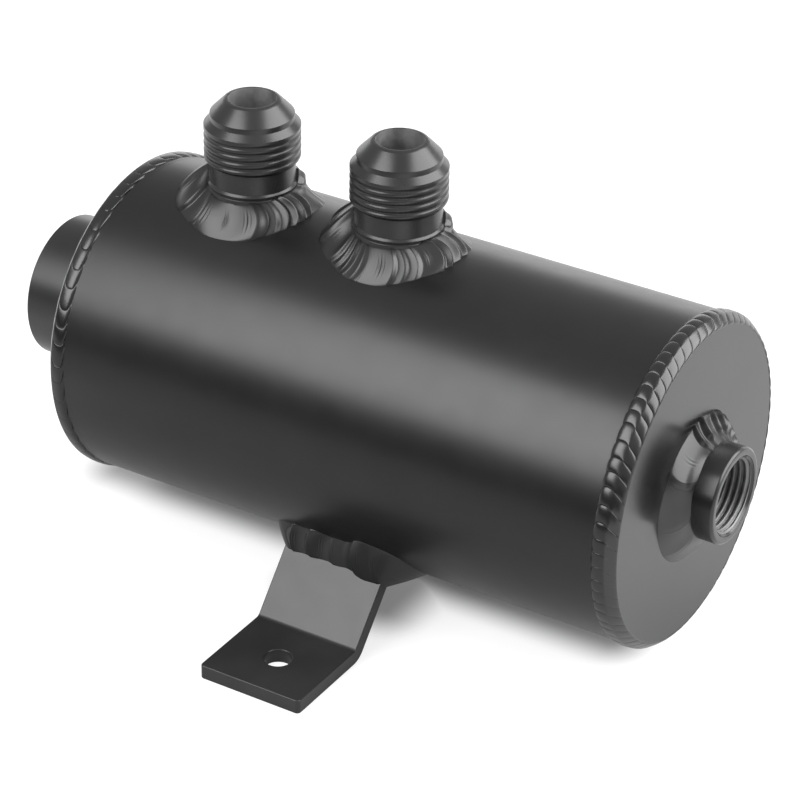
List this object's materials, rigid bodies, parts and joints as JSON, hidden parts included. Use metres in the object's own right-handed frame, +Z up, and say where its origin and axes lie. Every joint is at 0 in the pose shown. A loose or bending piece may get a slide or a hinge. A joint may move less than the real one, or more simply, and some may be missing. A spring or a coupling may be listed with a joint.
{
  "type": "oil catch can",
  "caption": "Welded round oil catch can lying on its side, with threaded flare inlets on top, a drain bung, an outlet stub and a bent foot bracket.",
  "frame": {"origin": "centre of the bracket's bolt hole, on the underside of the foot", "axes": "+X along the can towards its drain end, +Z up along the inlet fittings, foot pointing to -Y"},
  "size_m": [0.1796, 0.1028, 0.1107],
  "materials": {
    "body": "satin black anodised",
    "fittings": "turned, black anodised",
    "bracket": "sheet, black anodised",
    "weld": "rippled weld bead, black anodised",
    "baffle": "sheet, black anodised"
  },
  "bodies": {
    "root": {"body_tube": "body", "drain_end_cap": "body", "outlet_end_cap": "body", "outlet_stub": "body", "inlet_fitting_left": "fittings", "inlet_fitting_middle": "fittings", "drain_bung": "fittings", "mounting_bracket": "bracket", "drain_cap_weld": "weld", "outlet_cap_weld": "weld", "inlet_weld_left": "weld", "inlet_weld_middle": "weld", "drain_bung_weld": "weld", "outlet_stub_weld": "weld", "bracket_weld": "weld", "baffle_plate": "baffle"}
  },
  "joints": []
}
